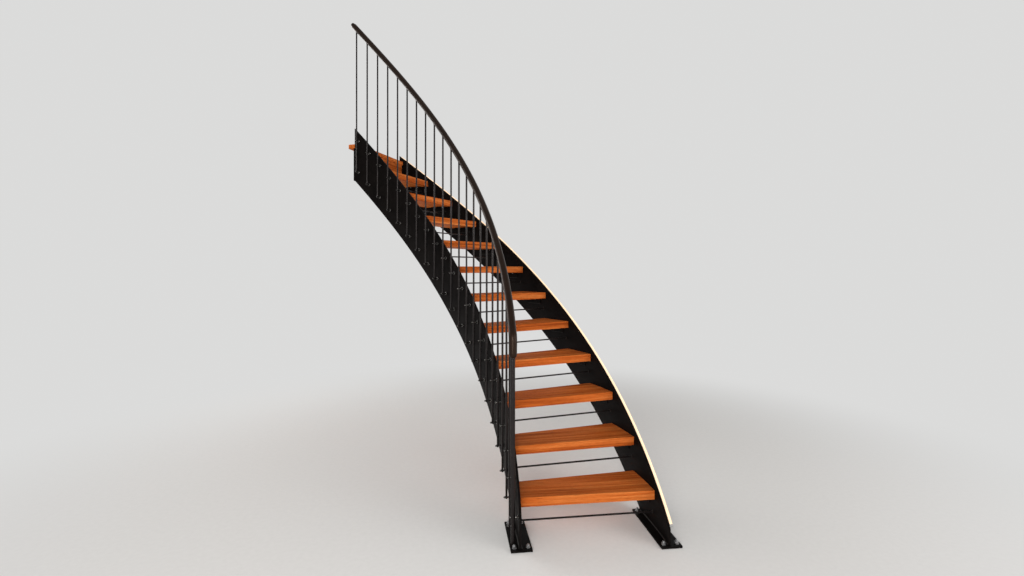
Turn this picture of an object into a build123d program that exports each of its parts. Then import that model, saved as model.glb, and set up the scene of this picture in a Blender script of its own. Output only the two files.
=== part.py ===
"""Curved open-riser stair of steel and oak, climbing anticlockwise seen from above. Millimetres.

The origin is on the floor, under the middle of the inner stringer's foot plate and of the first nosing.
+X points away from the centre of the curve, +Y is the way up at the foot, and +Z is up.
Places along the stair are counted in steps: step 0 is the floor, step 1 the first tread's nosing.
"""
import os
from math import atan, cos, degrees, pi, radians, sin, sqrt, tan

from build123d import *

# Steps
rise = 205.0                     # height of one step
riser_count = 12                 # the last riser ends at the landing
step_turn = 5.98                 # degrees of the circle that one step takes
tread_thickness = 50.0
tread_overlap = 12.0             # how far a tread runs in under the nosing above it
tread_arris = 2.5                # eased edge along a tread's front and back
nosing_thickness = 36.0          # the landing's own nosing is thinner than the treads
nosing_depth = 92.0
nosing_arris = 2.5
apron_thickness = 14.0           # closed oak face under the landing's nosing

# Stringers, bent from flat plate. Tops and bottoms are measured plumb from the line of the nosings.
inner_face_radius = 1880.0       # the face that the balusters stand in front of
stair_width = 748.0              # clear between the two plates
stringer_thickness = 12.0
inner_top = 101.0
inner_bottom = -334.0
outer_top = 33.0
outer_bottom = -340.0
stringer_first_step = 0.3

# Tread cleats, a curved angle section under both ends of each tread
cleat_leg = 40.0
cleat_thickness = 5.0
cleat_setback_steps = 0.22       # behind the tread's nosing
cleat_steps = 0.55               # how much of a step a cleat covers

# Bars across the open risers
riser_bar_radius = 5.0
riser_bar_setback_steps = 0.1    # behind the nosing above

# Balusters and their pegs. Heights are measured plumb from the line of the nosings.
baluster_radius = 6.0
baluster_offset = 30.0           # from the inner stringer's face to the balusters' axes
baluster_spacing = 102.9         # between axes, along their circle
baluster_first_step = 1.28
upper_peg_height = 31.0
lower_peg_height = -228.0
baluster_tail = 9.0              # below the lower peg's axis
peg_width = 8.0
peg_sides = 8

# Handrail, its turned-down lower end and the newel post
rail_radius = 21.0
rail_height = 954.0              # from the line of the nosings to the rail's axis
rail_overrun_steps = 0.2         # past the last baluster
rail_bend_count = 7              # the rail is rolled in lengths, each on one radius
rail_end_chamfer = 5.0
newel_step = 0.567
newel_radius = 11.5
newel_peg_height = 147.0         # above the floor
turndown_reach = 60.0            # level distance from the newel to where the rail's curve starts
turndown_radius = 58.0
turndown_drop = 110.0            # from the corner of the rail's bend plumb down to its lower end

# Foot plates and the fixing plates at the upper ends
foot_thickness = 10.0
foot_width = 110.0
foot_margin = 14.0               # how far a foot plate runs past its stringer's ends
foot_hole_radius = 7.0
foot_hole_spacing_x = 70.0
foot_hole_edge = 27.0            # from a hole's axis to the plate's end
top_plate_thickness = 10.0
top_plate_width = 100.0
top_hole_radius = 7.0
top_hole_edge = 30.0             # from a hole's axis to the plate's free edge
top_hole_margin = 60.0           # from a hole's axis to the plate's top or bottom

# Strip light along the outer stringer's upper edge, on the wall's side
channel_width = 16.0
channel_height = 14.0
channel_wall = 1.6
channel_first_step = 0.36
channel_margin_steps = 0.05      # short of the stringer's upper end
diffuser_rise = 4.0              # above the stringer's edge

fit_gap = 0.3                    # where a piece is fitted against a curved plate
contact_gap = 0.1                # where the end of a bar meets a curved face

# Worked out from the sizes above
landing = riser_count
inner_tread_radius = inner_face_radius + stringer_thickness
apron_front = tread_overlap + contact_gap
apron_back = apron_front + apron_thickness
stringer_end_overrun = degrees((apron_back + fit_gap) / inner_tread_radius) / step_turn
stringer_end = landing + stringer_end_overrun
outer_tread_radius = inner_tread_radius + stair_width
outer_face_radius = outer_tread_radius + stringer_thickness
inner_middle = inner_face_radius + stringer_thickness / 2
outer_middle = outer_tread_radius + stringer_thickness / 2
baluster_circle = inner_face_radius - baluster_offset
baluster_step = degrees(baluster_spacing / baluster_circle) / step_turn
baluster_count = int((stringer_end - baluster_first_step) / baluster_step) + 1
helix_pitch = rise * 360 / step_turn
rail_slope = atan(helix_pitch / (2 * pi * baluster_circle))
rail_start = newel_step + degrees(atan(turndown_reach / baluster_circle)) / step_turn
rail_end = baluster_first_step + (baluster_count - 1) * baluster_step + rail_overrun_steps
turndown_corner_height = rail_height - turndown_reach * tan(rail_slope)
turndown_foot_height = turndown_corner_height - turndown_drop
newel_circle = sqrt(baluster_circle**2 + turndown_reach**2)
newel_height = rail_start * rise + turndown_foot_height


def climb(steps):
    """Place on the stair, that many steps up, of a piece made on the ray +X of the stair's axis."""
    axis = Location((-inner_middle, 0, 0))
    return axis * Location((0, 0, steps * rise), (0, 0, (steps - 1) * step_turn))


def beside_ray(radius, angle, ahead):
    """Point at a radius, on the line that runs beside the ray at an angle, moved ahead up the stair."""
    along = sqrt(radius**2 - ahead**2)
    turn = radians(angle)
    return (along * cos(turn) - ahead * sin(turn), along * sin(turn) + ahead * cos(turn))


def board_outline(back_angle, back_ahead):
    """Plan of a board between the stringers, from the ray +X to a line beside a ray further up."""
    inner = inner_tread_radius + fit_gap
    outer = outer_tread_radius - fit_gap
    with BuildSketch() as plan:
        with BuildLine():
            Line((inner, 0), (outer, 0))
            RadiusArc((outer, 0), beside_ray(outer, back_angle, back_ahead), -outer)
            Line(beside_ray(outer, back_angle, back_ahead), beside_ray(inner, back_angle, back_ahead))
            RadiusArc(beside_ray(inner, back_angle, back_ahead), (inner, 0), inner)
        make_face()
    return plan.sketch


def placed(piece, *steps):
    """The same piece at one or more places along the stair."""
    with BuildPart() as copies:
        for step in steps:
            with Locations(climb(step)):
                add(piece)
    return copies.part


def helical_bar(profile_radius, width, bottom, top, start, end):
    """Bar with a plumb rectangular section that climbs about the stair's axis."""
    with BuildPart() as bar:
        with BuildLine():
            Helix(pitch=helix_pitch, height=(end - start) * rise, radius=profile_radius)
        with BuildSketch(Plane.XZ):
            with Locations((profile_radius, (top + bottom) / 2)):
                Rectangle(width, top - bottom)
        sweep(is_frenet=True)
    return bar.part


def peg(post_circle, post_radius, height):
    """Short bar that holds a post off the inner stringer's face."""
    start = post_circle + post_radius + contact_gap
    with BuildPart() as bar:
        with BuildSketch(Plane.YZ.offset(start)):
            with Locations((0, height)):
                RegularPolygon(peg_width / 2, peg_sides, major_radius=False)
        extrude(amount=inner_face_radius - fit_gap - start)
    return bar.part


def save(part, name):
    part.label = name
    export_step(part, f"parts/{name}.step")


os.makedirs("parts", exist_ok=True)

# Stringers: helical plates, cut level on their foot plates and plumb at both ends
with BuildPart() as inner_stringer:
    with Locations(climb(stringer_first_step)):
        add(
            helical_bar(
                inner_middle,
                stringer_thickness,
                inner_bottom,
                inner_top,
                stringer_first_step,
                stringer_end,
            )
        )
    split(bisect_by=Plane.XY.offset(foot_thickness), keep=Keep.TOP)
save(inner_stringer.part, "inner_stringer")

with BuildPart() as outer_stringer:
    with Locations(climb(stringer_first_step)):
        add(
            helical_bar(
                outer_middle,
                stringer_thickness,
                outer_bottom,
                outer_top,
                stringer_first_step,
                stringer_end,
            )
        )
    split(bisect_by=Plane.XY.offset(foot_thickness), keep=Keep.TOP)
save(outer_stringer.part, "outer_stringer")

# Treads: one wedge-shaped board, the same on every step
with BuildPart() as tread:
    with BuildSketch(Plane.XY.offset(-tread_thickness)):
        add(board_outline(step_turn, tread_overlap))
    extrude(amount=tread_thickness)
    chamfer(edges().filter_by(GeomType.LINE).filter_by(Plane.XY), tread_arris)

for step in range(1, riser_count):
    save(placed(tread.part, step), f"tread_{step:02d}")

# Landing nosing and the closed face under it
with BuildPart() as nosing:
    with BuildSketch(Plane.XY.offset(-nosing_thickness)):
        add(board_outline(0, nosing_depth))
    extrude(amount=nosing_thickness)
    chamfer(edges().filter_by(GeomType.LINE).filter_by(Plane.XY).group_by(Axis.Y)[0], nosing_arris)
save(placed(nosing.part, landing), "landing_nosing")

apron_bottom = -rise - tread_thickness
apron_height = -nosing_thickness - apron_bottom
with BuildPart() as apron:
    with BuildSketch(Plane.XZ.offset(-apron_front)):
        with Locations(((inner_tread_radius + outer_tread_radius) / 2, apron_bottom + apron_height / 2)):
            Rectangle(stair_width - 4 * fit_gap, apron_height)
    extrude(amount=-apron_thickness)
save(placed(apron.part, landing), "landing_apron")


def cleats(stringer_face, leg_end):
    """Curved angle under each tread, one leg on the stringer and one under the board."""
    side = 1 if leg_end > stringer_face else -1
    face = stringer_face + side * fit_gap
    top = -tread_thickness
    with BuildPart() as cleat:
        with BuildSketch(Plane.XZ.rotated((0, 0, cleat_setback_steps * step_turn))):
            with BuildLine():
                Polyline(
                    (face, top),
                    (leg_end, top),
                    (leg_end, top - cleat_thickness),
                    (face + side * cleat_thickness, top - cleat_thickness),
                    (face + side * cleat_thickness, top - cleat_leg),
                    (face, top - cleat_leg),
                    close=True,
                )
            make_face()
        revolve(axis=Axis.Z, revolution_arc=cleat_steps * step_turn)
    return cleat.part


tread_steps = range(1, riser_count)
save(placed(cleats(inner_tread_radius, inner_tread_radius + cleat_leg), *tread_steps), "inner_cleats")
save(placed(cleats(outer_tread_radius, outer_tread_radius - cleat_leg), *tread_steps), "outer_cleats")

# Bars across the open risers, half way up each gap
riser_bar_height = (rise - tread_thickness) / 2 - rise
with BuildPart() as riser_bar:
    with BuildSketch(Plane.YZ.offset(inner_tread_radius + contact_gap)):
        with Locations((0, riser_bar_height - riser_bar_setback_steps * rise)):
            Circle(riser_bar_radius)
    extrude(amount=stair_width - 2 * contact_gap)
save(placed(riser_bar.part, *[step + riser_bar_setback_steps for step in tread_steps]), "riser_bars")

# Balusters: round bars cut to the rail's slope
baluster_bottom = lower_peg_height - baluster_tail
underside = Plane(
    origin=(baluster_circle, 0, rail_height - (rail_radius + contact_gap) / cos(rail_slope)),
    x_dir=(1, 0, 0),
    z_dir=(0, -sin(rail_slope), cos(rail_slope)),
)
with BuildPart() as baluster:
    with BuildSketch(Plane.XY.offset(baluster_bottom)):
        with Locations((baluster_circle, 0)):
            Circle(baluster_radius)
    extrude(amount=rail_height - baluster_bottom)
    split(bisect_by=underside, keep=Keep.BOTTOM)

baluster_steps = [baluster_first_step + place * baluster_step for place in range(baluster_count)]
third = -(-baluster_count // 3)
save(placed(baluster.part, *baluster_steps[:third]), "lower_balusters")
save(placed(baluster.part, *baluster_steps[third:2 * third]), "middle_balusters")
save(placed(baluster.part, *baluster_steps[2 * third:]), "upper_balusters")

# Pegs between the posts and the inner stringer, the newel's with the lower ones
save(placed(peg(baluster_circle, baluster_radius, upper_peg_height), *baluster_steps), "upper_pegs")

with BuildPart() as lower_pegs:
    add(placed(peg(baluster_circle, baluster_radius, lower_peg_height), *baluster_steps))
    add(placed(peg(newel_circle, newel_radius, newel_peg_height - newel_step * rise), newel_step))
save(lower_pegs.part, "lower_pegs")


def on_rail(steps):
    """Point of the rail's axis, that many steps above the place where its climb starts."""
    turn = radians(steps * step_turn)
    return (baluster_circle * cos(turn), baluster_circle * sin(turn), rail_height + steps * rise)


# Handrail: plumb up from the newel, round into the slope, and up over the balusters
rail_length = (rail_end - rail_start) / rail_bend_count
turndown_foot = (baluster_circle, -turndown_reach, turndown_foot_height)
turndown_corner = (baluster_circle, -turndown_reach, turndown_corner_height)
with BuildPart() as handrail:
    with BuildLine() as rail_line:
        FilletPolyline(turndown_foot, turndown_corner, on_rail(0), radius=turndown_radius)
        for length in range(rail_bend_count):
            ThreePointArc(
                on_rail(length * rail_length),
                on_rail((length + 0.5) * rail_length),
                on_rail((length + 1) * rail_length),
            )
    with BuildSketch(Plane.XY.offset(turndown_foot_height)):
        with Locations(turndown_foot[:2]):
            Circle(rail_radius)
    sweep(path=rail_line.wires()[0])
    chamfer(faces().filter_by(GeomType.PLANE).edges(), rail_end_chamfer)
save(placed(handrail.part, rail_start), "handrail")

# Newel post, from the foot plate to the turned-down end
with BuildPart() as newel:
    with BuildSketch(Plane.XY.offset(foot_thickness - newel_step * rise)):
        with Locations((newel_circle, 0)):
            Circle(newel_radius)
    extrude(amount=newel_height - foot_thickness)
save(placed(newel.part, newel_step), "newel_post")


def foot_plate(middle_radius, stringer_bottom, face_radius):
    """Floor plate under a stringer, with four bolt holes, made about the stair's axis."""
    back_step = (foot_thickness - stringer_bottom) / rise
    half_turn = max(1 - stringer_first_step, back_step - 1) * step_turn
    length = 2 * (face_radius * sin(radians(half_turn)) + foot_margin)
    with BuildPart() as plate:
        with BuildSketch():
            with Locations((middle_radius - inner_middle, 0)):
                Rectangle(foot_width, length)
                with GridLocations(foot_hole_spacing_x, length - 2 * foot_hole_edge, 2, 2):
                    Circle(foot_hole_radius, mode=Mode.SUBTRACT)
        extrude(amount=foot_thickness)
    print("foot plate length", round(length, 3), "hole spacing along it", round(length - 2 * foot_hole_edge, 3))
    return plate.part


save(foot_plate(inner_middle, inner_bottom, inner_face_radius), "inner_foot_plate")
save(foot_plate(outer_middle, outer_bottom, outer_face_radius), "outer_foot_plate")


def top_plate(face_radius, side, stringer_bottom):
    """Fixing plate on a stringer's upper end, reaching in under the landing's nosing."""
    top = -stringer_end_overrun * rise - nosing_thickness - fit_gap
    middle = face_radius + side * top_plate_width / 2
    hole = face_radius + side * (top_plate_width - top_hole_edge)
    with BuildPart() as plate:
        with BuildSketch(Plane.XZ):
            with Locations((middle, (top + stringer_bottom) / 2)):
                Rectangle(top_plate_width, top - stringer_bottom)
            with Locations((hole, top - top_hole_margin), (hole, stringer_bottom + top_hole_margin)):
                Circle(top_hole_radius, mode=Mode.SUBTRACT)
        extrude(amount=-top_plate_thickness)
    return plate.part


save(placed(top_plate(inner_face_radius, 1, inner_bottom), stringer_end), "inner_top_plate")
save(placed(top_plate(outer_face_radius, -1, outer_bottom), stringer_end), "outer_top_plate")

# Strip light: an open channel on the stringer's wall side and the diffuser that stands in it
channel_end = stringer_end - channel_margin_steps
channel_middle = outer_face_radius + fit_gap + channel_width / 2
channel_floor = outer_top - channel_height
with BuildPart() as channel:
    with BuildLine():
        Helix(pitch=helix_pitch, height=(channel_end - channel_first_step) * rise, radius=channel_middle)
    with BuildSketch(Plane.XZ):
        with Locations((channel_middle, (outer_top + channel_floor) / 2)):
            Rectangle(channel_width, channel_height)
        with Locations((channel_middle, (outer_top + channel_floor) / 2 + channel_wall)):
            Rectangle(channel_width - 2 * channel_wall, channel_height, mode=Mode.SUBTRACT)
    sweep(is_frenet=True)
save(placed(channel.part, channel_first_step), "light_channel")

diffuser_width = channel_width - 2 * (channel_wall + contact_gap)
save(
    placed(
        helical_bar(
            channel_middle,
            diffuser_width,
            channel_floor + channel_wall + contact_gap,
            outer_top + diffuser_rise,
            channel_first_step,
            channel_end,
        ),
        channel_first_step,
    ),
    "light_diffuser",
)
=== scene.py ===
"""Dresses the curved open-riser stair of steel and oak. Metres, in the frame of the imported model.

Places along the stair are counted in steps: step 0 is the floor, step 1 the first tread's nosing and
step 12 the landing. A piece that belongs to a step is modelled on the ray +X of the stair's axis, with
its heights measured from the line of the nosings, and is then set at its step. Starts, ends, setbacks and
overruns along the stair are in steps too.
"""
from math import atan, cos, pi, radians, sin, sqrt, tan

import bpy
from bpy.props import FloatProperty, FloatVectorProperty, IntProperty, PointerProperty
from bpy.types import NodeSocket, Operator, Panel, PropertyGroup
from mathutils import Matrix, Vector


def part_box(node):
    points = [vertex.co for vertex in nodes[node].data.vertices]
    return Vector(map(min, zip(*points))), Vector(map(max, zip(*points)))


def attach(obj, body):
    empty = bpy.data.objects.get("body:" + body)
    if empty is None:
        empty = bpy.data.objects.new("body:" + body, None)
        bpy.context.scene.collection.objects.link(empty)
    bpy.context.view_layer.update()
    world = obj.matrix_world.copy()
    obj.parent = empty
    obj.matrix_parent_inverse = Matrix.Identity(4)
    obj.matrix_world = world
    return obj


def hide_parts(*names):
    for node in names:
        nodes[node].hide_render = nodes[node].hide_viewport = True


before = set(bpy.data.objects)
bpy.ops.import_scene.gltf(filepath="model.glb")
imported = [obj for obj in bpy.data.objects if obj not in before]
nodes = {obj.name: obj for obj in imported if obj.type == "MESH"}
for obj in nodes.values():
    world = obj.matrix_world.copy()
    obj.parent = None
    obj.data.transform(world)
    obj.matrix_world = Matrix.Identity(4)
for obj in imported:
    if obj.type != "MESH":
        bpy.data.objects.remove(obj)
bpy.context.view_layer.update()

bl_info = {
    "name": "Curved stair dressing",
    "version": (1, 0, 0),
    "blender": (4, 5, 0),
    "location": "View3D > Sidebar > Stair",
    "description": "Models and finishes the boards, plates, rail, bars and fixings of a curved open stair",
    "category": "Object",
}

# The stair's own sizes, the same as in the CAD
RISE = 0.205
STEP_TURN = radians(5.98)
LANDING = 12
PLATE = 0.012
STAIR_WIDTH = 0.748
GAP = 0.0003

INNER_FACE = 1.880
INNER_MIDDLE = INNER_FACE + PLATE / 2
INNER_BOARD = INNER_FACE + PLATE
OUTER_BOARD = INNER_BOARD + STAIR_WIDTH
OUTER_MIDDLE = OUTER_BOARD + PLATE / 2
OUTER_FACE = OUTER_BOARD + PLATE
AXIS_X = -INNER_MIDDLE
INNER_TOP, INNER_BOTTOM = 0.101, -0.334
OUTER_TOP, OUTER_BOTTOM = 0.033, -0.340
LANDING_LAP = 0.0264
STRINGER_START = 0.3
STRINGER_END = LANDING + (LANDING_LAP / INNER_BOARD) / STEP_TURN
FOOT_PLATE = 0.010
ANCHOR_SPACING, ANCHOR_EDGE = 0.070, 0.027

TREAD, TREAD_UNDER = 0.050, 0.012
NOSING, NOSING_DEPTH = 0.036, 0.092
CLEAT_START, CLEAT_STEPS = 0.22, 0.55
CLEAT_LEG, CLEAT_THICKNESS = 0.040, 0.005
RISER_BAR_SETBACK = 0.1

BALUSTER_OFFSET = 0.030
BALUSTER_CIRCLE = INNER_FACE - BALUSTER_OFFSET
BALUSTER_RADIUS = 0.006
BALUSTER_TAIL = 0.009
BALUSTER_COUNT = 21
FIRST_BALUSTER = 1.28
BALUSTER_SPACING = 0.1029
BALUSTER_STEP = (BALUSTER_SPACING / BALUSTER_CIRCLE) / STEP_TURN
BALUSTERS = [FIRST_BALUSTER + place * BALUSTER_STEP for place in range(BALUSTER_COUNT)]
UPPER_PEG, LOWER_PEG = 0.031, -0.228

RAIL_RADIUS = 0.021
RAIL_HEIGHT = 0.954
RAIL_SLOPE = atan(RISE / (STEP_TURN * BALUSTER_CIRCLE))
NEWEL_STEP = 0.567
NEWEL_RADIUS = 0.0115
NEWEL_REACH = 0.060
NEWEL_CIRCLE = sqrt(BALUSTER_CIRCLE**2 + NEWEL_REACH**2)
NEWEL_PEG_ABOVE_FLOOR = 0.147
TURNDOWN_BEND, TURNDOWN_DROP = 0.058, 0.110
RAIL_OVERRUN = 0.2
RAIL_START = NEWEL_STEP + atan(NEWEL_REACH / BALUSTER_CIRCLE) / STEP_TURN
RAIL_END = BALUSTERS[-1] + RAIL_OVERRUN
RAIL_CORNER = RAIL_HEIGHT - NEWEL_REACH * tan(RAIL_SLOPE)
RAIL_FOOT = RAIL_CORNER - TURNDOWN_DROP

CHANNEL_WIDTH = 0.016
CHANNEL_START, CHANNEL_SETBACK = 0.36, 0.05
CHANNEL_END = STRINGER_END - CHANNEL_SETBACK


def ray_place(step, height):
    """Where a piece modelled on the ray +X of the stair's axis goes, for a step's ray and a height."""
    return Matrix.Translation((AXIS_X, 0, height)) @ Matrix.Rotation((step - 1) * STEP_TURN, 4, "Z")


def step_place(step):
    """The same at the height of the step's nosing."""
    return ray_place(step, step * RISE)


# Hand work on one piece at a time

def put_down():
    """Leaves edit mode, with nothing selected."""
    if bpy.context.mode != "OBJECT":
        bpy.ops.object.mode_set(mode="OBJECT")
    bpy.ops.object.select_all(action="DESELECT")


def take(piece):
    """Makes a piece the only one selected."""
    put_down()
    piece.select_set(True)
    bpy.context.view_layer.objects.active = piece


def open_piece(piece, kind="VERT", action="SELECT"):
    """Opens a piece in edit mode, with all or none of it selected."""
    take(piece)
    bpy.ops.object.mode_set(mode="EDIT")
    bpy.ops.mesh.select_mode(type=kind)
    bpy.ops.mesh.select_all(action=action)


def pick_points(piece, test):
    """Opens a piece with the points selected that pass a test of their place."""
    open_piece(piece, "VERT", "DESELECT")
    bpy.ops.object.mode_set(mode="OBJECT")
    for point in piece.data.vertices:
        point.select = test(point.co)
    bpy.ops.object.mode_set(mode="EDIT")


def pick_edges(piece, test):
    """Opens a piece with the edges selected that pass a test of their two ends."""
    open_piece(piece, "EDGE", "DESELECT")
    bpy.ops.object.mode_set(mode="OBJECT")
    points = piece.data.vertices
    for edge in piece.data.edges:
        edge.select = test(points[edge.vertices[0]].co, points[edge.vertices[1]].co)
    bpy.ops.object.mode_set(mode="EDIT")


def close_piece(piece, smooth=35):
    """Merges doubles, turns the faces outward and smooths the shading up to an angle."""
    open_piece(piece)
    bpy.ops.mesh.remove_doubles(threshold=0.00001)
    bpy.ops.mesh.normals_make_consistent(inside=False)
    take(piece)
    bpy.ops.object.shade_smooth_by_angle(angle=radians(smooth))
    return piece


def settle(piece, matrix=Matrix.Identity(4)):
    """Puts a piece at its place and leaves the place in its mesh."""
    take(piece)
    piece.matrix_world = matrix @ piece.matrix_world
    bpy.ops.object.transform_apply(location=True, rotation=True, scale=True)
    return piece


def copies(piece, matrices):
    """A copy of the piece at each of several places, each with its own mesh. The piece itself goes."""
    made = []
    for count, matrix in enumerate(matrices, 1):
        take(piece)
        bpy.ops.object.duplicate(linked=False)
        made.append(settle(bpy.context.object, matrix))
        made[-1].name = f"{piece.name}_{count:02d}"
    bpy.data.objects.remove(piece)
    return made


def joined(pieces, name):
    """Several like pieces as one object."""
    take(pieces[0])
    for piece in pieces[1:]:
        piece.select_set(True)
    bpy.ops.object.join()
    whole = bpy.context.object
    whole.name = name
    return whole


def finish_piece(piece, material, name=None, stands_for=()):
    """Gives a piece its finish, a new name if given, and its body, and hides the CAD parts it stands for."""
    if name:
        piece.name = name
    piece.data.materials.clear()
    piece.data.materials.append(material)
    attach(piece, "root")
    if stands_for:
        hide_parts(*stands_for)
    return piece


def finish_nodes(material, *names):
    """Gives CAD nodes a finish."""
    for name in names:
        nodes[name].data.materials.clear()
        nodes[name].data.materials.append(material)


def turned(name, stations, sides, smooth=35):
    """Round piece on +Z, drawn out from one station (height, radius) to the next and closed at both ends."""
    put_down()
    height, radius = stations[0]
    bpy.ops.mesh.primitive_circle_add(
        vertices=sides, radius=radius, fill_type="NGON", location=(0, 0, height)
    )
    piece = settle(bpy.context.object)
    piece.name = name
    open_piece(piece)
    for next_height, next_radius in stations[1:]:
        bpy.ops.mesh.extrude_region_move(TRANSFORM_OT_translate={"value": (0, 0, next_height - height)})
        grow = next_radius / radius
        bpy.ops.transform.resize(value=(grow, grow, 1), center_override=(0, 0, next_height))
        height, radius = next_height, next_radius
    return close_piece(piece, smooth)


def helical_bar(name, radius, width, bottom, top, start, end, arris):
    """Bar with a plumb section that climbs about the stair's axis, its long edges eased."""
    put_down()
    middle = (radius, 0, (top + bottom) / 2)
    bpy.ops.mesh.primitive_plane_add(size=1, location=middle, rotation=(pi / 2, 0, 0))
    bar = bpy.context.object
    bar.scale = (width, top - bottom, 1)
    settle(bar)
    open_piece(bar)
    bpy.ops.mesh.bevel(affect="VERTICES", offset=arris, segments=3)
    bpy.ops.mesh.delete(type="ONLY_FACE")
    take(bar)
    lengths = 140
    climb = bar.modifiers.new("Climb", "SCREW")
    climb.axis = "Z"
    climb.angle = (end - start) * STEP_TURN
    climb.screw_offset = (end - start) * RISE
    climb.steps = lengths
    climb.render_steps = lengths
    bpy.ops.object.modifier_apply(modifier=climb.name)
    open_piece(bar)
    bpy.ops.mesh.fill_holes(sides=0)
    close_piece(bar)
    bar.name = name
    return settle(bar, step_place(start))


def weld_bead(name, radius, height, start, end, size):
    """Round bead laid level about the stair's axis, at a height, between two steps."""
    put_down()
    bpy.ops.mesh.primitive_circle_add(
        vertices=10, radius=size, location=(radius, 0, 0), rotation=(pi / 2, 0, 0)
    )
    bead = settle(bpy.context.object)
    turn = (end - start) * STEP_TURN
    longest = 0.012
    open_piece(bead)
    bpy.ops.mesh.spin(
        steps=max(6, round(turn * radius / longest)), angle=-turn, center=(0, 0, 0), axis=(0, 0, 1)
    )
    open_piece(bead, "EDGE", "DESELECT")
    bpy.ops.mesh.select_non_manifold()
    bpy.ops.mesh.fill_holes(sides=0)
    close_piece(bead)
    bead.name = name
    return settle(bead, ray_place(start, height))


def board(name, back_turn, back_ahead, thickness, arris, front_only=False):
    """Board between the stringers, from the ray +X to a line beside a ray further up, its edges eased."""
    inner = INNER_BOARD + GAP
    outer = OUTER_BOARD - GAP
    width = outer - inner
    near = 0.0005

    # The front edge alone, which is then drawn back
    put_down()
    bpy.ops.mesh.primitive_plane_add(size=1, location=((inner + outer) / 2, 0.5, 0))
    piece = bpy.context.object
    piece.scale = (width, 1, 1)
    settle(piece)
    pick_points(piece, lambda place: place.y > 0.5)
    bpy.ops.mesh.delete(type="VERT")
    open_piece(piece)
    if back_turn:
        bpy.ops.mesh.spin(steps=6, angle=-back_turn, center=(0, 0, 0), axis=(0, 0, 1))
        put_down()
        ends = sorted(piece.data.vertices, key=lambda point: abs(point.co.y / point.co.x))[-2:]
        if ends[0].co.y < 0:
            raise RuntimeError("the board was spun the wrong way")
        last = [tuple(point.co) for point in ends]
        pick_points(piece, lambda place: tuple(place) in last)
        bpy.ops.transform.translate(value=(-sin(back_turn) * back_ahead, cos(back_turn) * back_ahead, 0))
    else:
        bpy.ops.mesh.extrude_region_move(TRANSFORM_OT_translate={"value": (0, back_ahead, 0)})
        pick_points(piece, lambda place: place.y > back_ahead / 2)
        slip = outer - sqrt(outer**2 - back_ahead**2)
        bpy.ops.transform.translate(value=(-slip, 0, 0))
    open_piece(piece)
    bpy.ops.mesh.extrude_region_move(TRANSFORM_OT_translate={"value": (0, 0, -thickness)})
    close_piece(piece)

    def long_edge(one, other):
        level = abs(one.z - other.z) < near
        across = abs(one.length - other.length) > width / 2
        front = abs(one.y) < near and abs(other.y) < near
        turn = Matrix.Rotation(-back_turn, 3, "Z")
        back = abs((turn @ one).y - back_ahead) < near and abs((turn @ other).y - back_ahead) < near
        return level and across and (front or (back and not front_only))

    pick_edges(piece, long_edge)
    bpy.ops.mesh.bevel(offset=arris, segments=4)
    close_piece(piece, smooth=50)
    piece.name = name
    return piece


# Shader nodes

def tone(*display):
    """Linear colour from its three display values, 0 to 255."""
    return tuple(
        ((value / 255 + 0.055) / 1.055) ** 2.4 if value > 10 else value / 3295 for value in display
    )


def dim(colour, part):
    """A colour at part of its strength."""
    return tuple(value * part for value in colour)


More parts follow.
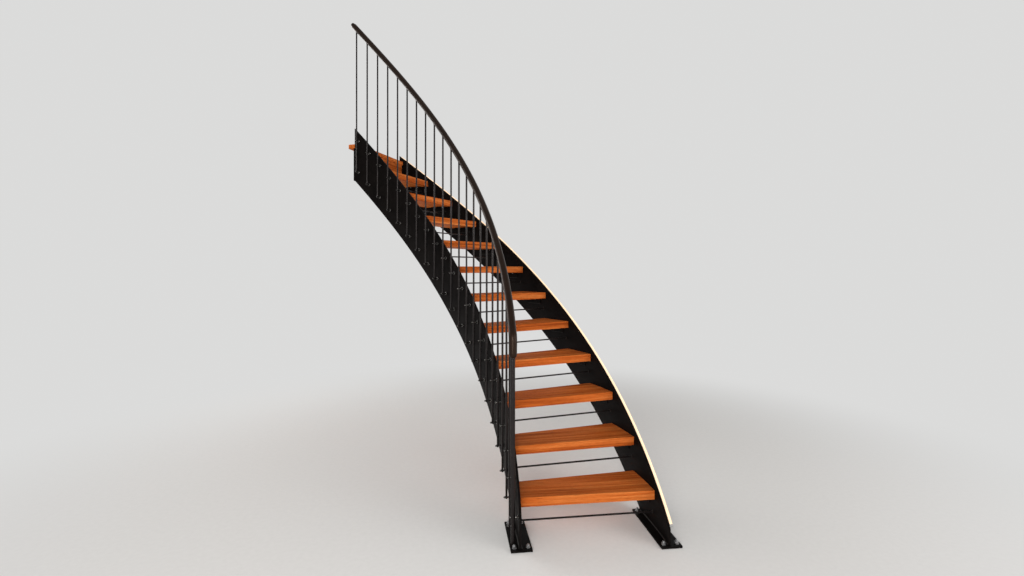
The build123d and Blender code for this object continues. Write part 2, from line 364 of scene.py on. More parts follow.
class NodeWork:
    """A node tree under work, with short words for its nodes."""

    def __init__(self, tree):
        self.tree = tree
        self.spot = -300

    def feed(self, socket, value):
        """Gives a socket a number, a vector, a colour or what comes out of another node."""
        if isinstance(value, NodeSocket):
            self.tree.links.new(value, socket)
        elif socket.type == "RGBA":
            socket.default_value = (*value, 1)
        else:
            socket.default_value = value

    def add(self, kind, sockets=(), **settings):
        """Adds a node with its settings and what feeds its sockets."""
        made = self.tree.nodes.new(kind)
        made.location = (self.spot, 0)
        self.spot -= 180
        for setting, value in settings.items():
            setattr(made, setting, value)
        for socket, value in dict(sockets).items():
            self.feed(made.inputs[socket], value)
        return made

    def place(self, location=(0, 0, 0), turn=0.0):
        """Object coordinates about a place, turned to a ray."""
        sockets = {
            "Vector": self.add("ShaderNodeTexCoord").outputs["Object"],
            "Location": location,
            "Rotation": (0, 0, turn),
        }
        return self.add("ShaderNodeMapping", sockets, vector_type="TEXTURE").outputs["Vector"]

    def stretch(self, vector, scale):
        """The same coordinates with another scale along each axis."""
        return self.add("ShaderNodeMapping", {"Vector": vector, "Scale": scale}).outputs["Vector"]

    def noise(self, vector, scale, detail, roughness=0.5, distortion=0.0):
        """Soft noise from 0 to 1."""
        sockets = {
            "Vector": vector,
            "Scale": scale,
            "Detail": detail,
            "Roughness": roughness,
            "Distortion": distortion,
        }
        return self.add("ShaderNodeTexNoise", sockets).outputs["Fac"]

    def streaks(self, vector, scale, *quality):
        """Soft noise with a scale of its own along each axis."""
        return self.noise(self.stretch(vector, scale), 1.0, *quality)

    def sum(self, first, second, operation="ADD"):
        """Arithmetic on two values, each a socket or a number."""
        return self.add("ShaderNodeMath", {0: first, 1: second}, operation=operation).outputs["Value"]

    def weighted(self, *parts):
        """The sum of several values, each (value, weight)."""
        whole = None
        for value, weight in parts:
            part = self.sum(value, weight, "MULTIPLY")
            whole = part if whole is None else self.sum(whole, part)
        return whole

    def span(self, value, low, high, to_low=0.0, to_high=1.0, **settings):
        """Stretches a range of values over another, held at both ends."""
        sockets = {"Value": value, "From Min": low, "From Max": high, "To Min": to_low, "To Max": to_high}
        return self.add("ShaderNodeMapRange", sockets, **settings).outputs["Result"]

    def ramp(self, value, *stops, interpolation="LINEAR"):
        """Colours along a value, each stop (position, colour)."""
        made = self.add("ShaderNodeValToRGB", {"Fac": value})
        made.color_ramp.interpolation = interpolation
        places = made.color_ramp.elements
        while len(places) < len(stops):
            places.new(0.5)
        for place, (position, colour) in zip(places, stops):
            place.position = position
            place.color = (*colour, 1)
        return made.outputs["Color"]

    def blend(self, factor, first, second):
        """Mixes two colours, each a socket or a colour."""
        factor_socket, first_socket, second_socket, colour_out = 0, 6, 7, 2
        sockets = {factor_socket: factor, first_socket: first, second_socket: second}
        return self.add("ShaderNodeMix", sockets, data_type="RGBA").outputs[colour_out]

    def choose(self, factor, first, second):
        """The first shader where the factor is 0 and the second where it is 1."""
        return self.add("ShaderNodeMixShader", {0: factor, 1: first, 2: second}).outputs[0]

    def seen(self):
        """1 for what the camera sees, directly, in gloss or through glass, and 0 for soft light."""
        path = self.add("ShaderNodeLightPath").outputs
        direct = self.sum(path["Is Camera Ray"], path["Is Glossy Ray"], "MAXIMUM")
        return self.sum(direct, path["Is Transmission Ray"], "MAXIMUM")


class Finish(NodeWork):
    """A material under work."""

    def __init__(self, name):
        self.material = bpy.data.materials.new(name)
        self.material.use_nodes = True
        super().__init__(self.material.node_tree)
        self.shader = self.tree.nodes["Principled BSDF"]

    def shade(self, sockets):
        """Feeds the shader's own sockets."""
        for socket, value in sockets.items():
            self.feed(self.shader.inputs[socket], value)

    def relief(self, height, depth, strength):
        """Feeds the shader's normal from a height, with a depth in metres."""
        sockets = {"Height": height, "Distance": depth, "Strength": strength}
        self.shade({"Normal": self.add("ShaderNodeBump", sockets).outputs["Normal"]})


# Finishes

def oak(name, step, seed, stave=0.066):
    """Oiled oak board with its grain along the ray of a step, glued up from staves."""
    colours = bpy.context.scene.stair_finishes
    light, middle, dark = tuple(colours.oak_light), tuple(colours.oak_middle), tuple(colours.oak_dark)
    wood = Finish(name)
    place = wood.place((AXIS_X, 0, step * RISE), (step - 1) * STEP_TURN)
    across = wood.add("ShaderNodeSeparateXYZ", {"Vector": place}).outputs["Y"]
    first_joint = 0.35 + seed * 0.37
    staves = wood.sum(wood.sum(across, stave, "DIVIDE"), first_joint)
    count = wood.sum(staves, 0.0, "FLOOR")

    # Each stave comes from another place in the grain and is a little lighter or darker
    number = wood.sum(count, seed * 7.31)
    luck = wood.add("ShaderNodeTexWhiteNoise", {"W": number}, noise_dimensions="1D").outputs["Value"]
    along, aside = wood.sum(luck, 9.0, "MULTIPLY"), wood.sum(luck, 5.0, "MULTIPLY")
    shift = wood.add("ShaderNodeCombineXYZ", {"X": along, "Y": aside}).outputs["Vector"]
    cut = wood.add("ShaderNodeVectorMath", {0: place, 1: shift}, operation="ADD").outputs["Vector"]
    bands = wood.streaks(cut, (0.9, 24, 24), 3.0, 0.55, 0.6)
    rings = wood.streaks(cut, (1.1, 85, 85), 3.0, 0.6, 0.3)
    fibre = wood.streaks(cut, (3.0, 210, 210), 5.0, 0.6)
    pores = wood.streaks(cut, (22.0, 900, 900), 2.0)
    cloud = wood.streaks(cut, (2.2, 5, 5), 2.0)
    grain = wood.weighted((bands, 0.40), (fibre, 0.36), (rings, 0.24))
    colour = wood.ramp(grain, (0.35, dark), (0.48, middle), (0.61, light))
    slits = wood.span(pores, 0.58, 0.66)
    colour = wood.blend(wood.sum(slits, 0.55, "MULTIPLY"), colour, dim(dark, 0.35))
    stave_shade = wood.span(luck, 0, 1, 0.86, 1.10)
    cloud_shade = wood.span(cloud, 0.3, 0.7, 0.92, 1.08)
    shade = wood.sum(stave_shade, cloud_shade, "MULTIPLY")
    shaded = wood.add("ShaderNodeVectorMath", {0: colour, "Scale": shade}, operation="SCALE")

    # The glued joints between the staves
    off_middle = wood.sum(wood.sum(staves, count, "SUBTRACT"), 0.5, "SUBTRACT")
    joint = wood.span(wood.sum(off_middle, 0.0, "ABSOLUTE"), 0.492, 0.499)
    wood.shade({
        "Base Color": wood.blend(wood.sum(joint, 0.5, "MULTIPLY"), shaded.outputs["Vector"], dim(dark, 0.3)),
        "Roughness": wood.span(wood.sum(fibre, slits), 0.3, 1.2, 0.48, 0.68),
        "Specular IOR Level": 0.02,
    })
    height = wood.sum(wood.sum(fibre, slits, "SUBTRACT"), joint, "SUBTRACT")
    wood.relief(height, 0.00025, 0.6)
    return wood.material


def steel(name, base, glow, gloss, coarse, metallic, relief, level=0.5, tint=(1, 1, 1)):
    """Steel mottled between two colours, with finer speckle in its gloss, which is a range of roughness."""
    metal = Finish(name)
    place = metal.place((AXIS_X, 0, 0))
    mottle = metal.noise(place, coarse, 6.0, 0.62, 0.4)
    speck = metal.noise(place, coarse * 22, 3.0, 0.6)
    smear = metal.noise(metal.stretch(place, (1.5, 1.5, 7.0)), 2.0, 4.0, 0.55, 1.2)
    between = tuple((one + other) / 2 for one, other in zip(base, glow))
    mixed = metal.weighted((mottle, 0.7), (speck, 0.3))
    metal.shade({
        "Base Color": metal.ramp(mixed, (0.34, base), (0.52, between), (0.70, glow)),
        "Roughness": metal.span(metal.sum(smear, speck), 0.7, 1.3, *gloss),
        "Metallic": metallic,
        "Specular IOR Level": level,
        "Specular Tint": tint,
    })
    metal.relief(metal.sum(speck, mottle), relief, 0.5)
    return metal.material


def waxed_plate(name):
    """Waxed black of the stringers, cleats, foot plates, top plates and newel ring."""
    black = tuple(bpy.context.scene.stair_finishes.plate_black)
    return steel(
        name, dim(black, 0.45), dim(black, 1.9), gloss=(0.42, 0.60),
        coarse=6.0, metallic=0.1, relief=0.00012, level=0.035,
    )


def rubbed_rail(name):
    """Brown satin of the handrail."""
    bronze = tuple(bpy.context.scene.stair_finishes.rail_bronze)
    return steel(
        name, dim(bronze, 0.6), dim(bronze, 1.5), gloss=(0.27, 0.39),
        coarse=9.0, metallic=0.1, relief=0.000004, level=0.20, tint=(1.0, 0.74, 0.60),
    )


def bar_steel(name):
    """Dark grey satin of the balusters, the newel post and the riser bars."""
    grey = tuple(bpy.context.scene.stair_finishes.bar_grey)
    return steel(
        name, dim(grey, 0.75), dim(grey, 1.25), gloss=(0.25, 0.36),
        coarse=5.0, metallic=0.15, relief=0.000004, level=0.22, tint=(1.0, 0.93, 0.92),
    )


def peg_steel(name):
    """Bright worn steel of the pegs."""
    return steel(
        name, (0.034, 0.032, 0.030), (0.120, 0.113, 0.107), gloss=(0.12, 0.22),
        coarse=60.0, metallic=0.9, relief=0.00001,
    )


def weld_steel(name):
    """Dull, rough steel of the weld beads and weld rings."""
    return steel(
        name, (0.008, 0.007, 0.006), (0.040, 0.034, 0.030), gloss=(0.34, 0.52),
        coarse=260.0, metallic=0.7, relief=0.0006,
    )


def zinc(name):
    """Zinc of the screws and floor anchors."""
    return steel(
        name, (0.30, 0.30, 0.31), (0.52, 0.52, 0.52), gloss=(0.28, 0.45),
        coarse=90.0, metallic=1.0, relief=0.00004,
    )


def drawn_aluminium(name):
    """Anodised aluminium of the light channel and its caps, with fine lines."""
    metal = Finish(name)
    place = metal.place((AXIS_X, 0, 0))
    lines = metal.streaks(place, (60, 60, 900), 3.0, 0.6)
    cloud = metal.noise(place, 4.0, 3.0)
    dull, bright = (0.42, 0.42, 0.42), (0.66, 0.66, 0.65)
    metal.shade({
        "Base Color": metal.ramp(metal.sum(lines, cloud, "MULTIPLY"), (0.1, dull), (0.45, bright)),
        "Roughness": metal.span(lines, 0.3, 0.7, 0.28, 0.42),
        "Metallic": 1.0,
    })
    metal.relief(lines, 0.00005, 0.4)
    return metal.material


def lit_diffuser(name):
    """Frosted diffuser, lit from within."""
    light = bpy.context.scene.stair_finishes
    warm = tuple(light.strip_glow)
    glass = Finish(name)
    place = glass.place((AXIS_X, 0, 0))
    frost = glass.noise(place, 420.0, 2.0)
    cloud = glass.noise(place, 7.0, 2.0)
    glass.shade({
        "Base Color": glass.ramp(cloud, (0.3, (0.34, 0.29, 0.22)), (0.7, (0.40, 0.35, 0.27))),
        "Roughness": glass.span(frost, 0.3, 0.7, 0.45, 0.6),
        "Emission Color": glass.ramp(cloud, (0.3, dim(warm, 0.93)), (0.7, warm)),
        "Emission Strength": light.strip_strength,
    })
    glass.relief(frost, 0.0001, 0.4)
    return glass.material


def finish(kind):
    """The material of one kind of finish, made the first time it is asked for."""
    name = kind.__name__
    if name in bpy.data.materials:
        return bpy.data.materials[name]
    return kind(name)


# What a user would change

class StairFinishes(PropertyGroup):
    """Colours of the stair's finishes."""

    oak_light: FloatVectorProperty(
        name="Oak, light", description="Early wood of the treads", subtype="COLOR", size=3, min=0, max=1,
        default=tone(224, 136, 70),
    )
    oak_middle: FloatVectorProperty(
        name="Oak, middle", description="The treads' main colour", subtype="COLOR", size=3, min=0, max=1,
        default=tone(190, 95, 38),
    )
    oak_dark: FloatVectorProperty(
        name="Oak, dark", description="Late wood of the treads", subtype="COLOR", size=3, min=0, max=1,
        default=tone(130, 56, 18),
    )
    plate_black: FloatVectorProperty(
        name="Plate", description="Waxed black of the stringers and plates", subtype="COLOR",
        size=3, min=0, max=1, default=(0.0046, 0.0036, 0.0033),
    )
    rail_bronze: FloatVectorProperty(
        name="Rail", description="Dark bronze of the handrail, where hands keep it bright", subtype="COLOR",
        size=3, min=0, max=1, default=(0.0105, 0.0058, 0.0040),
    )
    bar_grey: FloatVectorProperty(
        name="Bars", description="Dark grey of the balusters and riser bars", subtype="COLOR",
        size=3, min=0, max=1, default=(0.0105, 0.0086, 0.0084),
    )
    strip_glow: FloatVectorProperty(
        name="Light", description="Colour of the lit strip", subtype="COLOR", size=3, min=0, max=1,
        default=(1.0, 0.68, 0.42),
    )
    strip_strength: FloatProperty(
        name="Light strength", description="How brightly the strip shines", default=1.1, min=0, max=10,
    )


class StairSizes(PropertyGroup):
    """Sizes of the details that the CAD leaves plain."""

    board_arris: FloatProperty(
        name="Board arris", description="Radius of the boards' eased edges", default=0.0025, unit="LENGTH",
    )
    plate_arris: FloatProperty(
        name="Plate arris", description="Radius of the plates' dressed edges", default=0.0012, unit="LENGTH",
    )
    rail_end_round: FloatProperty(
        name="Rail end", description="Rounding of the handrail's lower end", default=0.017, unit="LENGTH",
    )
    knuckle_swell: FloatProperty(
        name="Knuckle", description="How much fuller the handrail is at its turned-down bend", default=0.05,
        subtype="FACTOR",
    )
    peg_radius: FloatProperty(
        name="Peg", description="Radius of a baluster peg's sleeve", default=0.0055, unit="LENGTH",
    )
    collar_radius: FloatProperty(
        name="Collar", description="Radius of a peg's collar on the stringer", default=0.0115, unit="LENGTH",
    )
    head_radius: FloatProperty(
        name="Head", description="Radius of a peg's head on the room's side", default=0.0062, unit="LENGTH",
    )
    screws_per_cleat: IntProperty(
        name="Screws", description="Screws up through each tread cleat", default=2, min=1, max=3,
    )


# One operator for each piece or group of like pieces

class STAIR_OT_stringers(Operator):
    """Model the two bent plates"""

    bl_idname = "stair.stringers"
    bl_label = "Stringers"

    def execute(self, context):
        arris = context.scene.stair_sizes.plate_arris
        plates = (
            ("inner", INNER_MIDDLE, INNER_BOTTOM, INNER_TOP),
            ("outer", OUTER_MIDDLE, OUTER_BOTTOM, OUTER_TOP),
        )
        for side, radius, bottom, top in plates:
            plate = helical_bar(
                f"{side}_plate", radius, PLATE, bottom, top, STRINGER_START, STRINGER_END, arris
            )
            open_piece(plate)
            bpy.ops.mesh.bisect(
                plane_co=(0, 0, FOOT_PLATE), plane_no=(0, 0, 1), use_fill=True, clear_inner=True
            )
            close_piece(plate)
            finish_piece(plate, finish(waxed_plate), stands_for=(f"{side}_stringer",))
        return {"FINISHED"}


class STAIR_OT_treads(Operator):
    """Model one tread and set a copy on every step"""

    bl_idname = "stair.treads"
    bl_label = "Treads"

    def execute(self, context):
        tread = board("tread_board", STEP_TURN, TREAD_UNDER, TREAD, context.scene.stair_sizes.board_arris)
        steps = range(1, LANDING)
        for step, piece in zip(steps, copies(tread, [step_place(step) for step in steps])):
            finish_piece(piece, oak(f"oak_tread_{step:02d}", step, step), stands_for=(f"tread_{step:02d}",))
        return {"FINISHED"}


class STAIR_OT_landing(Operator):
    """Model the landing's nosing and finish the closed face under it"""

    bl_idname = "stair.landing"
    bl_label = "Landing edge"

    def execute(self, context):
        arris = context.scene.stair_sizes.board_arris
        nosing = board("nosing_board", 0.0, NOSING_DEPTH, NOSING, arris, front_only=True)
        settle(nosing, step_place(LANDING))
        wood = oak("oak_nosing", LANDING, seed=12, stave=NOSING_DEPTH)
        finish_piece(nosing, wood, stands_for=("landing_nosing",))
        finish_nodes(oak("oak_apron", LANDING, seed=13, stave=0.5), "landing_apron")
        return {"FINISHED"}


def rail_points():
    """The handrail's line about its starting place, plumb up, round the bend and up the slope."""
    corner = Vector((BALUSTER_CIRCLE, -NEWEL_REACH, RAIL_CORNER))
    foot = Vector((BALUSTER_CIRCLE, -NEWEL_REACH, RAIL_FOOT))
    turn = pi / 2 - RAIL_SLOPE
    start = corner - Vector((0, 0, TURNDOWN_BEND * tan(turn / 2)))
    centre = start + Vector((0, TURNDOWN_BEND, 0))

    # The parts are shorter at the lower end, where the rail is rounded
    line = [foot + (start - foot) * part for part in (0, 0.03, 0.07, 0.12, 0.18, 0.3, 0.5, 0.75)]
    bend_parts = 12
    for part in range(bend_parts + 1):
        angle = turn * part / bend_parts
        line.append(centre + TURNDOWN_BEND * Vector((0, -cos(angle), sin(angle))))
    slope_parts = 128
    for part in range(slope_parts + 1):
        steps = (RAIL_END - RAIL_START) * part / slope_parts
        angle = steps * STEP_TURN
        height = RAIL_HEIGHT + steps * RISE
        line.append(Vector((BALUSTER_CIRCLE * cos(angle), BALUSTER_CIRCLE * sin(angle), height)))
    return line


class STAIR_OT_handrail(Operator):
    """Model the round handrail with its turned-down, rounded lower end"""

    bl_idname = "stair.handrail"
    bl_label = "Handrail"

    def execute(self, context):
        sizes = context.scene.stair_sizes
        upper_end_round = 0.006
        knuckle, knuckle_reach = 0.100, 0.085
        line = rail_points()
        lengths = [0.0]
        for one, other in zip(line, line[1:]):
            lengths.append(lengths[-1] + (other - one).length)
        put_down()
        bpy.ops.curve.primitive_nurbs_path_add()
        rail = bpy.context.object
        curve = rail.data
        curve.splines.clear()
        spline = curve.splines.new("POLY")
        spline.points.add(len(line) - 1)
        for point, place, length in zip(spline.points, line, lengths):
            lower_end = self.rounding(length, sizes.rail_end_round)
            upper_end = self.rounding(lengths[-1] - length, upper_end_round)
            off_knuckle = min(1.0, abs(length - knuckle) / knuckle_reach)
            point.co = (*place, 1)
            point.radius = lower_end * upper_end * (1 + sizes.knuckle_swell * cos(pi / 2 * off_knuckle))
        curve.dimensions = "3D"
        curve.bevel_depth = RAIL_RADIUS
        curve.bevel_resolution = 7
        curve.use_fill_caps = True
        take(rail)
        bpy.ops.object.convert(target="MESH")
        rail = close_piece(bpy.context.object, smooth=50)
        settle(rail, step_place(RAIL_START))
        finish_piece(rail, finish(rubbed_rail), "handrail_tube", ("handrail",))
        return {"FINISHED"}

    @staticmethod
    def rounding(length, radius):
        """Share of the rail's radius at a length from its end."""
        if length >= radius:
            return 1.0
        return (RAIL_RADIUS - radius + sqrt(radius**2 - (radius - length) ** 2)) / RAIL_RADIUS


class STAIR_OT_newel(Operator):
    """Finish the newel post and model the ring at its foot"""

    bl_idname = "stair.newel"
    bl_label = "Newel post"

    def execute(self, context):
        finish_nodes(finish(bar_steel), "newel_post")
        base, radius = FOOT_PLATE, NEWEL_RADIUS
        ring = turned("newel_foot_ring", [
            (base, radius + 0.006), (base + 0.0015, radius + 0.0055), (base + 0.004, radius + 0.003),
            (base + 0.0065, radius + 0.0006),
        ], sides=48)
        settle(ring, ray_place(NEWEL_STEP, 0) @ Matrix.Translation((NEWEL_CIRCLE, 0, 0)))
        finish_piece(ring, finish(waxed_plate))
        return {"FINISHED"}


class STAIR_OT_balusters(Operator):
    """Model one baluster with its rounded foot and welded top, and set a copy at every place"""

    bl_idname = "stair.balusters"
    bl_label = "Balusters"

    def execute(self, context):
        names = ("lower_balusters", "middle_balusters", "upper_balusters")
        each = BALUSTER_COUNT // len(names)
        made = copies(self.baluster(), [step_place(step) for step in BALUSTERS])
        for count, name in enumerate(names):
            group = joined(made[count * each:(count + 1) * each], f"{name}_bars")
            finish_piece(group, finish(bar_steel), stands_for=(name,))
        return {"FINISHED"}

    @staticmethod
    def baluster():
        """Post on its circle, which ends inside the rail, with the weld round it under the rail."""
        radius = BALUSTER_RADIUS
        bottom = LOWER_PEG - BALUSTER_TAIL
        half_rail = RAIL_RADIUS / cos(RAIL_SLOPE)
        top = RAIL_HEIGHT - 0.7 * half_rail
        seat = RAIL_HEIGHT - half_rail
        post = turned("baluster", [
            (bottom, radius * 0.55), (bottom + 0.0006, radius * 0.8), (bottom + 0.0018, radius * 0.96),
            (bottom + 0.003, radius), (top, radius),
        ], sides=24)
        weld = turned("weld", [
            (-0.0035, radius * 1.02), (-0.0015, radius * 1.28), (0.0, radius * 1.55), (0.003, radius * 1.75),
        ], sides=24)
        settle(weld, Matrix.Translation((0, 0, seat)) @ Matrix.Rotation(RAIL_SLOPE, 4, "X"))
        return settle(joined([post, weld], "baluster"), Matrix.Translation((BALUSTER_CIRCLE, 0, 0)))


class STAIR_OT_pegs(Operator):
    """Model one peg with its collar and head, and set a copy at both heights of every baluster"""

    bl_idname = "stair.pegs"
    bl_label = "Pegs"

    def execute(self, context):
        sizes = context.scene.stair_sizes
        upper = self.peg("peg", sizes, INNER_FACE - BALUSTER_CIRCLE + BALUSTER_RADIUS, BALUSTER_RADIUS)
        on_face = Matrix.Translation((INNER_FACE, 0, 0)) @ Matrix.Rotation(-pi / 2, 4, "Y")
        settle(upper, on_face)
        take(upper)
        bpy.ops.object.duplicate(linked=False)
        lower = bpy.context.object
        settle(upper, Matrix.Translation((0, 0, UPPER_PEG)))
        settle(lower, Matrix.Translation((0, 0, LOWER_PEG)))
        places = [step_place(step) for step in BALUSTERS]
        upper_row = joined(copies(upper, places), "upper_peg_row")
        finish_piece(upper_row, finish(peg_steel), stands_for=("upper_pegs",))
        newel_peg = self.peg("newel_peg", sizes, INNER_FACE - NEWEL_CIRCLE + NEWEL_RADIUS, NEWEL_RADIUS)
        settle(newel_peg, ray_place(NEWEL_STEP, NEWEL_PEG_ABOVE_FLOOR) @ on_face)
        lower_row = joined([*copies(lower, places), newel_peg], "lower_peg_row")
        finish_piece(lower_row, finish(peg_steel), stands_for=("lower_pegs",))
        return {"FINISHED"}

    @staticmethod
    def peg(name, sizes, reach, post):
        """Peg on +Z: collar on the stringer at 0, sleeve up to the post, pointed head past the reach."""
        rod, collar, head = sizes.peg_radius, sizes.collar_radius, sizes.head_radius
        sleeve = reach - 2 * post
        return turned(name, [
            (0.0, collar * 0.97), (0.0005, collar), (0.0032, collar), (0.0042, collar * 0.96),
            (0.0050, collar * 0.86), (0.0054, collar * 0.74), (0.0056, rod * 1.25), (0.0066, rod),
            (sleeve - 0.0008, rod), (sleeve + 0.0004, rod * 0.92), (reach - 0.0004, rod * 0.92),
            (reach - 0.0003, head), (reach + 0.0030, head), (reach + 0.0052, head * 0.93),
            (reach + 0.0080, head * 0.70), (reach + 0.0102, head * 0.42), (reach + 0.0112, head * 0.16),
        ], sides=24)


class STAIR_OT_riser_bars(Operator):
    """Finish the bars across the open risers and model the weld rings at their ends"""

    bl_idname = "stair.riser_bars"
    bl_label = "Riser bars"

    def execute(self, context):
        finish_nodes(finish(bar_steel), "riser_bars")
        ring = turned("bar_ring", [
            (0.0003, 0.0086), (0.0012, 0.0084), (0.0026, 0.0066), (0.0036, 0.0052),
        ], sides=24)
        height = (RISE - TREAD) / 2 - RISE
        inward = Matrix.Translation((INNER_BOARD, 0, height)) @ Matrix.Rotation(pi / 2, 4, "Y")
        outward = Matrix.Translation((OUTER_BOARD, 0, height)) @ Matrix.Rotation(-pi / 2, 4, "Y")
        places = []
        for step in range(1, LANDING):
            place = ray_place(step + RISER_BAR_SETBACK, step * RISE)
            places += [place @ inward, place @ outward]
        finish_piece(joined(copies(ring, places), "riser_bar_rings"), finish(weld_steel))
        return {"FINISHED"}


class STAIR_OT_fixings(Operator):
    """Finish the cleats and plates, and model their screws, welds and floor anchors"""

    bl_idname = "stair.fixings"
    bl_label = "Fixings"

    def execute(self, context):
        finish_nodes(
            finish(waxed_plate), "inner_cleats", "outer_cleats", "inner_foot_plate", "outer_foot_plate",
            "inner_top_plate", "outer_top_plate",
        )
        self.anchors()
        self.screws(context.scene.stair_sizes.screws_per_cleat)
        self.welds()
        return {"FINISHED"}

    @staticmethod
    def screws(count):
        """Screws up through each cleat's level leg into the tread."""
        low = -TREAD - CLEAT_THICKNESS
        off_plate = 0.024
        screw = turned("screw", [
            (low, 0.0046), (low - 0.0008, 0.0050), (low - 0.0020, 0.0049), (low - 0.0030, 0.0042),
            (low - 0.0036, 0.0030), (low - 0.0037, 0.0022), (low - 0.0016, 0.0020),
        ], sides=12)
        places = []
        for step in range(1, LANDING):
            for radius in (INNER_BOARD + off_plate, OUTER_BOARD - off_plate):
                for place in range(count):
                    ahead = CLEAT_START + CLEAT_STEPS * (place + 0.5) / count
                    turn = Matrix.Rotation(ahead * STEP_TURN, 4, "Z")
                    places.append(step_place(step) @ turn @ Matrix.Translation((radius, 0, 0)))
        finish_piece(joined(copies(screw, places), "cleat_screws"), finish(zinc))

    @staticmethod
    def welds():
        """Beads along the cleats' lower edges and the stringers' feet."""
        cleat_bead, foot_bead = 0.0028, 0.0042
        short, foot_front, foot_back = 0.02, 0.01, 0.03
        beads = []
        for step in range(1, LANDING):
            height = step * RISE - TREAD - CLEAT_LEG
            start = step + CLEAT_START + short
            end = step + CLEAT_START + CLEAT_STEPS - short
            for side, radius in (("inner", INNER_BOARD), ("outer", OUTER_BOARD)):
                beads.append(weld_bead(f"{side}_cleat_weld", radius, height, start, end, cleat_bead))
        feet = (
            (INNER_FACE, INNER_BOTTOM), (INNER_BOARD, INNER_BOTTOM),
            (OUTER_BOARD, OUTER_BOTTOM), (OUTER_FACE, OUTER_BOTTOM),
        )
        for radius, bottom in feet:
            start = STRINGER_START + foot_front
            end = (FOOT_PLATE - bottom) / RISE - foot_back
            beads.append(weld_bead("foot_weld", radius, FOOT_PLATE, start, end, foot_bead))
        finish_piece(joined(beads, "weld_beads"), finish(weld_steel))

    @staticmethod
    def anchors():
        """Washer, nut and stud end in each hole of the foot plates."""
        base, washer_thickness = FOOT_PLATE, 0.0025
        washer = turned("washer", [
            (base, 0.0118), (base + 0.0004, 0.012), (base + 0.0021, 0.012),
            (base + washer_thickness, 0.0117),
        ], sides=32)
        base += washer_thickness
        nut = turned("nut", [
            (base, 0.0098), (base + 0.0006, 0.0109), (base + 0.0088, 0.0109), (base + 0.0096, 0.0098),
        ], sides=6, smooth=20)
        stud = turned("stud", [
            (base + 0.009, 0.0058), (base + 0.0155, 0.0058), (base + 0.0168, 0.0046),
        ], sides=24)
        anchor = joined([washer, nut, stud], "anchor")
        places = []
        for name in ("inner_foot_plate", "outer_foot_plate"):
            low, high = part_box(name)
            middle = (low[0] + high[0]) / 2
            for x in (middle - ANCHOR_SPACING / 2, middle + ANCHOR_SPACING / 2):
                for y in (low[1] + ANCHOR_EDGE, high[1] - ANCHOR_EDGE):
                    places.append(Matrix.Translation((x, y, 0)))
        finish_piece(joined(copies(anchor, places), "floor_anchors"), finish(zinc))


class STAIR_OT_strip_light(Operator):
    """Finish the light channel and its lit diffuser, and model the channel's end caps"""

    bl_idname = "stair.strip_light"
    bl_label = "Strip light"

    def execute(self, context):
        finish_nodes(finish(drawn_aluminium), "light_channel")
        finish_nodes(finish(lit_diffuser), "light_diffuser")
        inset = 0.005
        self.cap("lower_cap", CHANNEL_START, -1)
        self.cap("upper_cap", CHANNEL_END - inset, 1)
        return {"FINISHED"}

    @staticmethod
    def cap(name, step, way):
        """End cap that closes the channel, its edges eased."""
        radius = OUTER_FACE + GAP + CHANNEL_WIDTH / 2
        width, depth, height = 0.0164, 0.003, 0.0168
        below_top = 0.006
        put_down()
        bpy.ops.mesh.primitive_cube_add(size=1, location=(radius, way * depth / 2, OUTER_TOP - below_top))
        cap = bpy.context.object
        cap.scale = (width, depth, height)
        settle(cap)
        open_piece(cap)
        bpy.ops.mesh.bevel(offset=0.0008, segments=3)
        close_piece(cap)
        cap.name = name
        settle(cap, step_place(step))
        finish_piece(cap, finish(drawn_aluminium))


BACKDROP = (0.71, 0.71, 0.704)

# Each lamp's name, place, aim, width and height, power in watts and colour
LAMPS = (
    ("key", (-1.8, -5.8, 2.0), (0.1, 1.0, 1.3), (2.6, 3.0), 240, (1.0, 0.95, 0.90)),
    ("fill", (4.4, -2.6, 2.0), (0.2, 1.0, 1.4), (3.0, 3.0), 90, (1.0, 0.98, 0.96)),
    ("back", (-3.6, 4.6, 3.4), (0.0, 1.0, 1.5), (3.0, 3.0), 90, (1.0, 0.99, 0.98)),
    ("crown", (-0.4, 0.6, 5.8), (-0.2, 1.0, 1.5), (3.0, 3.0), 10, (1.0, 0.98, 0.95)),
    ("streak", (-0.7, -4.2, 1.35), (0.0, 0.0, 1.15), (0.40, 2.5), 42, (0.94, 0.96, 1.0)),
)


def aimed(direction):
    """Turn of a lamp or camera that looks along a direction, kept upright."""
    return Vector(direction).to_track_quat("-Z", "Y").to_euler()


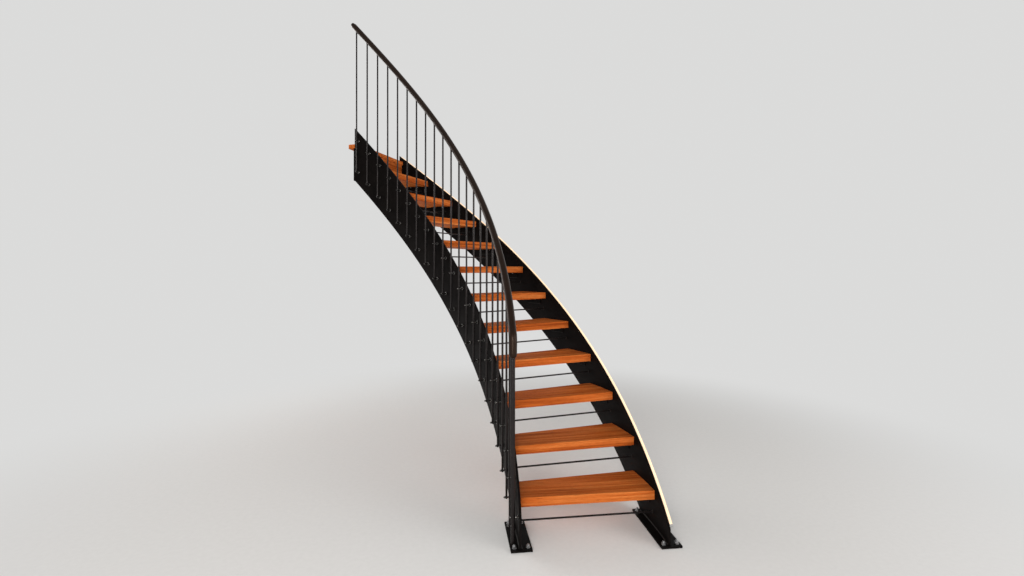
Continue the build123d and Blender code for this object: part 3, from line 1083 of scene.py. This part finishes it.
class STAIR_OT_stage(Operator):
    """Set up the pale floor, the soft lights and the camera"""

    bl_idname = "stair.stage"
    bl_label = "Stage"

    def execute(self, context):
        self.floor()
        self.surroundings(context.scene)
        self.lamps()
        self.camera(context.scene)
        context.scene.view_settings.view_transform = "Standard"
        return {"FINISHED"}

    @staticmethod
    def floor():
        """Pale floor that runs out into the backdrop, away from the stair."""
        put_down()
        bpy.ops.mesh.primitive_plane_add(size=60, location=(0, 10, -0.001))
        floor = settle(bpy.context.object)
        floor.name = "floor"
        pale = Finish("pale_floor")
        grain = pale.noise(pale.place(), 40.0, 3.0)
        pale.shade({
            "Base Color": pale.ramp(grain, (0.3, (0.86, 0.858, 0.852)), (0.7, (0.89, 0.888, 0.882))),
            "Roughness": 0.75,
        })
        middle = pale.place((0, 1, 0))
        away = pale.add("ShaderNodeVectorMath", {"Vector": middle}, operation="LENGTH").outputs["Value"]
        fade = pale.span(away, 1.6, 4.2, interpolation_type="SMOOTHSTEP")
        wall = pale.add("ShaderNodeEmission", {"Color": BACKDROP}).outputs[0]
        run_out = pale.choose(pale.sum(fade, pale.seen(), "MULTIPLY"), pale.shader.outputs[0], wall)
        pale.feed(pale.tree.nodes["Material Output"].inputs["Surface"], run_out)
        floor.data.materials.append(pale.material)

    @staticmethod
    def surroundings(scene):
        """Even backdrop for what the camera sees, and softer light from it on the stair."""
        world = scene.world or bpy.data.worlds.new("studio")
        scene.world = world
        world.use_nodes = True
        sky = NodeWork(world.node_tree)
        sky.tree.nodes.clear()
        direction = sky.add("ShaderNodeTexCoord").outputs["Generated"]
        height = sky.add("ShaderNodeSeparateXYZ", {"Vector": direction}).outputs["Z"]
        shades = []
        for level, low, high in (
            (0.30, (0.50, 0.487, 0.470), (0.24, 0.233, 0.224)), (0.50, BACKDROP, (0.30, 0.30, 0.30)),
        ):
            colour = sky.ramp(height, (level, low), (0.95, high), interpolation="EASE")
            shades.append(sky.add("ShaderNodeBackground", {"Color": colour}).outputs[0])
        light = sky.choose(sky.seen(), *shades)
        sky.add("ShaderNodeOutputWorld", {"Surface": light})

    @staticmethod
    def lamps():
        """Soft lamps round the stair."""
        for name, place, aim, (width, height), power, colour in LAMPS:
            put_down()
            bpy.ops.object.light_add(type="AREA", location=place)
            lamp = bpy.context.object
            lamp.name = name
            lamp.data.shape = "RECTANGLE"
            lamp.data.size, lamp.data.size_y = width, height
            lamp.data.energy = power
            lamp.data.color = colour
            lamp.rotation_euler = aimed(Vector(aim) - Vector(place))

    @staticmethod
    def camera(scene):
        """Camera at the photograph's eye, kept level and turned to take in the whole stair."""
        eye = (-0.366, -2.679, 1.415)
        view = (0.124, 0.992, 0)
        put_down()
        bpy.ops.object.camera_add(location=eye)
        camera = bpy.context.object
        camera.name = "photo_camera"
        camera.rotation_euler = aimed(view)
        camera.data.sensor_width = 36
        camera.data.lens = 18.0
        camera.data.shift_y = -0.0185
        scene.camera = camera


PIECES = (
    STAIR_OT_stringers,
    STAIR_OT_treads,
    STAIR_OT_landing,
    STAIR_OT_handrail,
    STAIR_OT_newel,
    STAIR_OT_balusters,
    STAIR_OT_pegs,
    STAIR_OT_riser_bars,
    STAIR_OT_fixings,
    STAIR_OT_strip_light,
    STAIR_OT_stage,
)


class STAIR_PT_panel(Panel):
    """The stair's pieces, sizes and finishes"""

    bl_label = "Curved stair"
    bl_idname = "STAIR_PT_panel"
    bl_space_type = "VIEW_3D"
    bl_region_type = "UI"
    bl_category = "Stair"

    def draw(self, context):
        column = self.layout.column(align=True)
        for piece in PIECES:
            column.operator(piece.bl_idname)
        for group in (context.scene.stair_sizes, context.scene.stair_finishes):
            column = self.layout.column()
            for name in group.__annotations__:
                column.prop(group, name)


CLASSES = (StairSizes, StairFinishes, *PIECES, STAIR_PT_panel)


def register():
    for kind in CLASSES:
        bpy.utils.register_class(kind)
    bpy.types.Scene.stair_sizes = PointerProperty(type=StairSizes)
    bpy.types.Scene.stair_finishes = PointerProperty(type=StairFinishes)


def unregister():
    del bpy.types.Scene.stair_finishes
    del bpy.types.Scene.stair_sizes
    for kind in reversed(CLASSES):
        bpy.utils.unregister_class(kind)


def main():
    register()
    bpy.ops.stair.stringers()
    bpy.ops.stair.treads()
    bpy.ops.stair.landing()
    bpy.ops.stair.handrail()
    bpy.ops.stair.newel()
    bpy.ops.stair.balusters()
    bpy.ops.stair.pegs()
    bpy.ops.stair.riser_bars()
    bpy.ops.stair.fixings()
    bpy.ops.stair.strip_light()
    bpy.ops.stair.stage()
    put_down()


if __name__ == "__main__":
    main()
